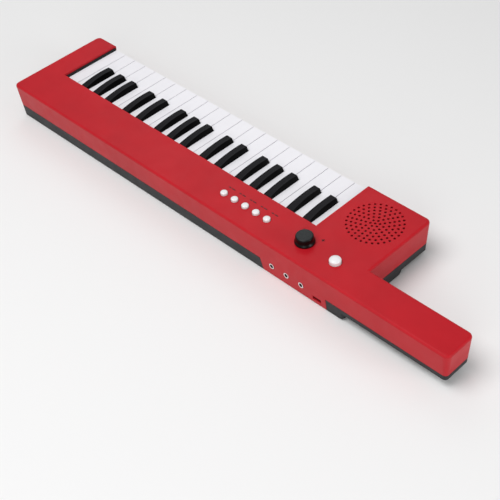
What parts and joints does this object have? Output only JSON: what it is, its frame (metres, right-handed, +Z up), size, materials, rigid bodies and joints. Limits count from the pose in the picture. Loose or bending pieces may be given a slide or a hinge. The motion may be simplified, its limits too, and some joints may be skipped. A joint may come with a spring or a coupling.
{
  "type": "keytar keyboard",
  "caption": "Slim hand-held electronic keyboard with a neck, mini keys, a round speaker grille, push buttons, a volume knob and side sockets.",
  "frame": {"origin": "middle of the bounding box in plan, on the face that it rests on", "axes": "+X along the body towards the tip of the neck, +Y towards the fronts of the keys, +Z up out of the keys"},
  "size_m": [0.55, 0.112, 0.046],
  "materials": {
    "white_key": "satin",
    "black_key": "satin",
    "white_button": "gloss",
    "knob": "satin",
    "steel": "satin",
    "red_case": "satin paint",
    "dark_case": "fine matte",
    "grey_frame": "matte",
    "silicone": "matte",
    "circuit_board": "satin",
    "speaker": "matte",
    "jack_metal": "bright",
    "socket_black": "satin",
    "cell_wrap": "satin",
    "feet": "matte"
  },
  "bodies": {
    "case": {"top_case": "red_case", "bottom_case": "dark_case", "keybed": "grey_frame", "pivot_rod": "steel", "contact_strip": "silicone", "contact_board": "circuit_board", "control_board": "circuit_board", "main_board": "circuit_board", "speaker": "speaker", "jack_sockets": "jack_metal", "usb_socket": "socket_black", "rechargeable_cell": "cell_wrap", "potentiometer": "steel", "case_screws": "steel", "rubber_feet": "feet"},
    "big_button": {"big_button": "white_button"},
    "button_1": {"button_1": "white_button"},
    "button_2": {"button_2": "white_button"},
    "button_3": {"button_3": "white_button"},
    "button_4": {"button_4": "white_button"},
    "button_5": {"button_5": "white_button"},
    "volume_knob": {"volume_knob": "knob", "pot_shaft": "steel"},
    "key_01_c": {"key_01_c": "white_key"},
    "key_02_c_sharp": {"key_02_c_sharp": "black_key"},
    "key_03_d": {"key_03_d": "white_key"},
    "key_04_d_sharp": {"key_04_d_sharp": "black_key"},
    "key_05_e": {"key_05_e": "white_key"},
    "key_06_f": {"key_06_f": "white_key"},
    "key_07_f_sharp": {"key_07_f_sharp": "black_key"},
    "key_08_g": {"key_08_g": "white_key"},
    "key_09_g_sharp": {"key_09_g_sharp": "black_key"},
    "key_10_a": {"key_10_a": "white_key"},
    "key_11_a_sharp": {"key_11_a_sharp": "black_key"},
    "key_12_b": {"key_12_b": "white_key"},
    "key_13_c": {"key_13_c": "white_key"},
    "key_14_c_sharp": {"key_14_c_sharp": "black_key"},
    "key_15_d": {"key_15_d": "white_key"},
    "key_16_d_sharp": {"key_16_d_sharp": "black_key"},
    "key_17_e": {"key_17_e": "white_key"},
    "key_18_f": {"key_18_f": "white_key"},
    "key_19_f_sharp": {"key_19_f_sharp": "black_key"},
    "key_20_g": {"key_20_g": "white_key"},
    "key_21_g_sharp": {"key_21_g_sharp": "black_key"},
    "key_22_a": {"key_22_a": "white_key"},
    "key_23_a_sharp": {"key_23_a_sharp": "black_key"},
    "key_24_b": {"key_24_b": "white_key"},
    "key_25_c": {"key_25_c": "white_key"},
    "key_26_c_sharp": {"key_26_c_sharp": "black_key"},
    "key_27_d": {"key_27_d": "white_key"},
    "key_28_d_sharp": {"key_28_d_sharp": "black_key"},
    "key_29_e": {"key_29_e": "white_key"},
    "key_30_f": {"key_30_f": "white_key"},
    "key_31_f_sharp": {"key_31_f_sharp": "black_key"},
    "key_32_g": {"key_32_g": "white_key"},
    "key_33_g_sharp": {"key_33_g_sharp": "black_key"},
    "key_34_a": {"key_34_a": "white_key"},
    "key_35_a_sharp": {"key_35_a_sharp": "black_key"},
    "key_36_b": {"key_36_b": "white_key"},
    "key_37_c": {"key_37_c": "white_key"}
  },
  "joints": [
    {"name": "big_button_press", "type": "slide", "parent": "case", "child": "big_button", "axis": [0, 0, -1], "range_m": [0, 0.0012], "stiffness_N_per_m": 300, "springref_m": -0.0015},
    {"name": "button_1_press", "type": "slide", "parent": "case", "child": "button_1", "axis": [0, 0, -1], "range_m": [0, 0.001], "stiffness_N_per_m": 300, "springref_m": -0.0015},
    {"name": "button_2_press", "type": "slide", "parent": "case", "child": "button_2", "axis": [0, 0, -1], "range_m": [0, 0.001], "stiffness_N_per_m": 300, "springref_m": -0.0015},
    {"name": "button_3_press", "type": "slide", "parent": "case", "child": "button_3", "axis": [0, 0, -1], "range_m": [0, 0.001], "stiffness_N_per_m": 300, "springref_m": -0.0015},
    {"name": "button_4_press", "type": "slide", "parent": "case", "child": "button_4", "axis": [0, 0, -1], "range_m": [0, 0.001], "stiffness_N_per_m": 300, "springref_m": -0.0015},
    {"name": "button_5_press", "type": "slide", "parent": "case", "child": "button_5", "axis": [0, 0, -1], "range_m": [0, 0.001], "stiffness_N_per_m": 300, "springref_m": -0.0015},
    {"name": "dial_turn", "type": "hinge", "parent": "case", "child": "volume_knob", "pos_m": [0.1084, -0.0332, 0.042], "axis": [0, 0, -1], "range_deg": [-150, 150]},
    {"name": "key_01_c_press", "type": "hinge", "parent": "case", "child": "key_01_c", "pos_m": [0, -0.024, 0.028], "axis": [-1, 0, 0], "range_deg": [0, 2.4], "stiffness_Nm_per_rad": 0.6, "springref_deg": -4.01, "deforming": ["contact_strip"]},
    {"name": "key_02_c_sharp_press", "type": "hinge", "parent": "case", "child": "key_02_c_sharp", "pos_m": [0, -0.024, 0.028], "axis": [-1, 0, 0], "range_deg": [0, 2.4], "stiffness_Nm_per_rad": 0.6, "springref_deg": -4.01, "deforming": ["contact_strip"]},
    {"name": "key_03_d_press", "type": "hinge", "parent": "case", "child": "key_03_d", "pos_m": [0, -0.024, 0.028], "axis": [-1, 0, 0], "range_deg": [0, 2.4], "stiffness_Nm_per_rad": 0.6, "springref_deg": -4.01, "deforming": ["contact_strip"]},
    {"name": "key_04_d_sharp_press", "type": "hinge", "parent": "case", "child": "key_04_d_sharp", "pos_m": [0, -0.024, 0.028], "axis": [-1, 0, 0], "range_deg": [0, 2.4], "stiffness_Nm_per_rad": 0.6, "springref_deg": -4.01, "deforming": ["contact_strip"]},
    {"name": "key_05_e_press", "type": "hinge", "parent": "case", "child": "key_05_e", "pos_m": [0, -0.024, 0.028], "axis": [-1, 0, 0], "range_deg": [0, 2.4], "stiffness_Nm_per_rad": 0.6, "springref_deg": -4.01, "deforming": ["contact_strip"]},
    {"name": "key_06_f_press", "type": "hinge", "parent": "case", "child": "key_06_f", "pos_m": [0, -0.024, 0.028], "axis": [-1, 0, 0], "range_deg": [0, 2.4], "stiffness_Nm_per_rad": 0.6, "springref_deg": -4.01, "deforming": ["contact_strip"]},
    {"name": "key_07_f_sharp_press", "type": "hinge", "parent": "case", "child": "key_07_f_sharp", "pos_m": [0, -0.024, 0.028], "axis": [-1, 0, 0], "range_deg": [0, 2.4], "stiffness_Nm_per_rad": 0.6, "springref_deg": -4.01, "deforming": ["contact_strip"]},
    {"name": "key_08_g_press", "type": "hinge", "parent": "case", "child": "key_08_g", "pos_m": [0, -0.024, 0.028], "axis": [-1, 0, 0], "range_deg": [0, 2.4], "stiffness_Nm_per_rad": 0.6, "springref_deg": -4.01, "deforming": ["contact_strip"]},
    {"name": "key_09_g_sharp_press", "type": "hinge", "parent": "case", "child": "key_09_g_sharp", "pos_m": [0, -0.024, 0.028], "axis": [-1, 0, 0], "range_deg": [0, 2.4], "stiffness_Nm_per_rad": 0.6, "springref_deg": -4.01, "deforming": ["contact_strip"]},
    {"name": "key_10_a_press", "type": "hinge", "parent": "case", "child": "key_10_a", "pos_m": [0, -0.024, 0.028], "axis": [-1, 0, 0], "range_deg": [0, 2.4], "stiffness_Nm_per_rad": 0.6, "springref_deg": -4.01, "deforming": ["contact_strip"]},
    {"name": "key_11_a_sharp_press", "type": "hinge", "parent": "case", "child": "key_11_a_sharp", "pos_m": [0, -0.024, 0.028], "axis": [-1, 0, 0], "range_deg": [0, 2.4], "stiffness_Nm_per_rad": 0.6, "springref_deg": -4.01, "deforming": ["contact_strip"]},
    {"name": "key_12_b_press", "type": "hinge", "parent": "case", "child": "key_12_b", "pos_m": [0, -0.024, 0.028], "axis": [-1, 0, 0], "range_deg": [0, 2.4], "stiffness_Nm_per_rad": 0.6, "springref_deg": -4.01, "deforming": ["contact_strip"]},
    {"name": "key_13_c_press", "type": "hinge", "parent": "case", "child": "key_13_c", "pos_m": [0, -0.024, 0.028], "axis": [-1, 0, 0], "range_deg": [0, 2.4], "stiffness_Nm_per_rad": 0.6, "springref_deg": -4.01, "deforming": ["contact_strip"]},
    {"name": "key_14_c_sharp_press", "type": "hinge", "parent": "case", "child": "key_14_c_sharp", "pos_m": [0, -0.024, 0.028], "axis": [-1, 0, 0], "range_deg": [0, 2.4], "stiffness_Nm_per_rad": 0.6, "springref_deg": -4.01, "deforming": ["contact_strip"]},
    {"name": "key_15_d_press", "type": "hinge", "parent": "case", "child": "key_15_d", "pos_m": [0, -0.024, 0.028], "axis": [-1, 0, 0], "range_deg": [0, 2.4], "stiffness_Nm_per_rad": 0.6, "springref_deg": -4.01, "deforming": ["contact_strip"]},
    {"name": "key_16_d_sharp_press", "type": "hinge", "parent": "case", "child": "key_16_d_sharp", "pos_m": [0, -0.024, 0.028], "axis": [-1, 0, 0], "range_deg": [0, 2.4], "stiffness_Nm_per_rad": 0.6, "springref_deg": -4.01, "deforming": ["contact_strip"]},
    {"name": "key_17_e_press", "type": "hinge", "parent": "case", "child": "key_17_e", "pos_m": [0, -0.024, 0.028], "axis": [-1, 0, 0], "range_deg": [0, 2.4], "stiffness_Nm_per_rad": 0.6, "springref_deg": -4.01, "deforming": ["contact_strip"]},
    {"name": "key_18_f_press", "type": "hinge", "parent": "case", "child": "key_18_f", "pos_m": [0, -0.024, 0.028], "axis": [-1, 0, 0], "range_deg": [0, 2.4], "stiffness_Nm_per_rad": 0.6, "springref_deg": -4.01, "deforming": ["contact_strip"]},
    {"name": "key_19_f_sharp_press", "type": "hinge", "parent": "case", "child": "key_19_f_sharp", "pos_m": [0, -0.024, 0.028], "axis": [-1, 0, 0], "range_deg": [0, 2.4], "stiffness_Nm_per_rad": 0.6, "springref_deg": -4.01, "deforming": ["contact_strip"]},
    {"name": "key_20_g_press", "type": "hinge", "parent": "case", "child": "key_20_g", "pos_m": [0, -0.024, 0.028], "axis": [-1, 0, 0], "range_deg": [0, 2.4], "stiffness_Nm_per_rad": 0.6, "springref_deg": -4.01, "deforming": ["contact_strip"]},
    {"name": "key_21_g_sharp_press", "type": "hinge", "parent": "case", "child": "key_21_g_sharp", "pos_m": [0, -0.024, 0.028], "axis": [-1, 0, 0], "range_deg": [0, 2.4], "stiffness_Nm_per_rad": 0.6, "springref_deg": -4.01, "deforming": ["contact_strip"]},
    {"name": "key_22_a_press", "type": "hinge", "parent": "case", "child": "key_22_a", "pos_m": [0, -0.024, 0.028], "axis": [-1, 0, 0], "range_deg": [0, 2.4], "stiffness_Nm_per_rad": 0.6, "springref_deg": -4.01, "deforming": ["contact_strip"]},
    {"name": "key_23_a_sharp_press", "type": "hinge", "parent": "case", "child": "key_23_a_sharp", "pos_m": [0, -0.024, 0.028], "axis": [-1, 0, 0], "range_deg": [0, 2.4], "stiffness_Nm_per_rad": 0.6, "springref_deg": -4.01, "deforming": ["contact_strip"]},
    {"name": "key_24_b_press", "type": "hinge", "parent": "case", "child": "key_24_b", "pos_m": [0, -0.024, 0.028], "axis": [-1, 0, 0], "range_deg": [0, 2.4], "stiffness_Nm_per_rad": 0.6, "springref_deg": -4.01, "deforming": ["contact_strip"]},
    {"name": "key_25_c_press", "type": "hinge", "parent": "case", "child": "key_25_c", "pos_m": [0, -0.024, 0.028], "axis": [-1, 0, 0], "range_deg": [0, 2.4], "stiffness_Nm_per_rad": 0.6, "springref_deg": -4.01, "deforming": ["contact_strip"]},
    {"name": "key_26_c_sharp_press", "type": "hinge", "parent": "case", "child": "key_26_c_sharp", "pos_m": [0, -0.024, 0.028], "axis": [-1, 0, 0], "range_deg": [0, 2.4], "stiffness_Nm_per_rad": 0.6, "springref_deg": -4.01, "deforming": ["contact_strip"]},
    {"name": "key_27_d_press", "type": "hinge", "parent": "case", "child": "key_27_d", "pos_m": [0, -0.024, 0.028], "axis": [-1, 0, 0], "range_deg": [0, 2.4], "stiffness_Nm_per_rad": 0.6, "springref_deg": -4.01, "deforming": ["contact_strip"]},
    {"name": "key_28_d_sharp_press", "type": "hinge", "parent": "case", "child": "key_28_d_sharp", "pos_m": [0, -0.024, 0.028], "axis": [-1, 0, 0], "range_deg": [0, 2.4], "stiffness_Nm_per_rad": 0.6, "springref_deg": -4.01, "deforming": ["contact_strip"]},
    {"name": "key_29_e_press", "type": "hinge", "parent": "case", "child": "key_29_e", "pos_m": [0, -0.024, 0.028], "axis": [-1, 0, 0], "range_deg": [0, 2.4], "stiffness_Nm_per_rad": 0.6, "springref_deg": -4.01, "deforming": ["contact_strip"]},
    {"name": "key_30_f_press", "type": "hinge", "parent": "case", "child": "key_30_f", "pos_m": [0, -0.024, 0.028], "axis": [-1, 0, 0], "range_deg": [0, 2.4], "stiffness_Nm_per_rad": 0.6, "springref_deg": -4.01, "deforming": ["contact_strip"]},
    {"name": "key_31_f_sharp_press", "type": "hinge", "parent": "case", "child": "key_31_f_sharp", "pos_m": [0, -0.024, 0.028], "axis": [-1, 0, 0], "range_deg": [0, 2.4], "stiffness_Nm_per_rad": 0.6, "springref_deg": -4.01, "deforming": ["contact_strip"]},
    {"name": "key_32_g_press", "type": "hinge", "parent": "case", "child": "key_32_g", "pos_m": [0, -0.024, 0.028], "axis": [-1, 0, 0], "range_deg": [0, 2.4], "stiffness_Nm_per_rad": 0.6, "springref_deg": -4.01, "deforming": ["contact_strip"]},
    {"name": "key_33_g_sharp_press", "type": "hinge", "parent": "case", "child": "key_33_g_sharp", "pos_m": [0, -0.024, 0.028], "axis": [-1, 0, 0], "range_deg": [0, 2.4], "stiffness_Nm_per_rad": 0.6, "springref_deg": -4.01, "deforming": ["contact_strip"]},
    {"name": "key_34_a_press", "type": "hinge", "parent": "case", "child": "key_34_a", "pos_m": [0, -0.024, 0.028], "axis": [-1, 0, 0], "range_deg": [0, 2.4], "stiffness_Nm_per_rad": 0.6, "springref_deg": -4.01, "deforming": ["contact_strip"]},
    {"name": "key_35_a_sharp_press", "type": "hinge", "parent": "case", "child": "key_35_a_sharp", "pos_m": [0, -0.024, 0.028], "axis": [-1, 0, 0], "range_deg": [0, 2.4], "stiffness_Nm_per_rad": 0.6, "springref_deg": -4.01, "deforming": ["contact_strip"]},
    {"name": "key_36_b_press", "type": "hinge", "parent": "case", "child": "key_36_b", "pos_m": [0, -0.024, 0.028], "axis": [-1, 0, 0], "range_deg": [0, 2.4], "stiffness_Nm_per_rad": 0.6, "springref_deg": -4.01, "deforming": ["contact_strip"]},
    {"name": "key_37_c_press", "type": "hinge", "parent": "case", "child": "key_37_c", "pos_m": [0, -0.024, 0.028], "axis": [-1, 0, 0], "range_deg": [0, 2.4], "stiffness_Nm_per_rad": 0.6, "springref_deg": -4.01, "deforming": ["contact_strip"]}
  ]
}
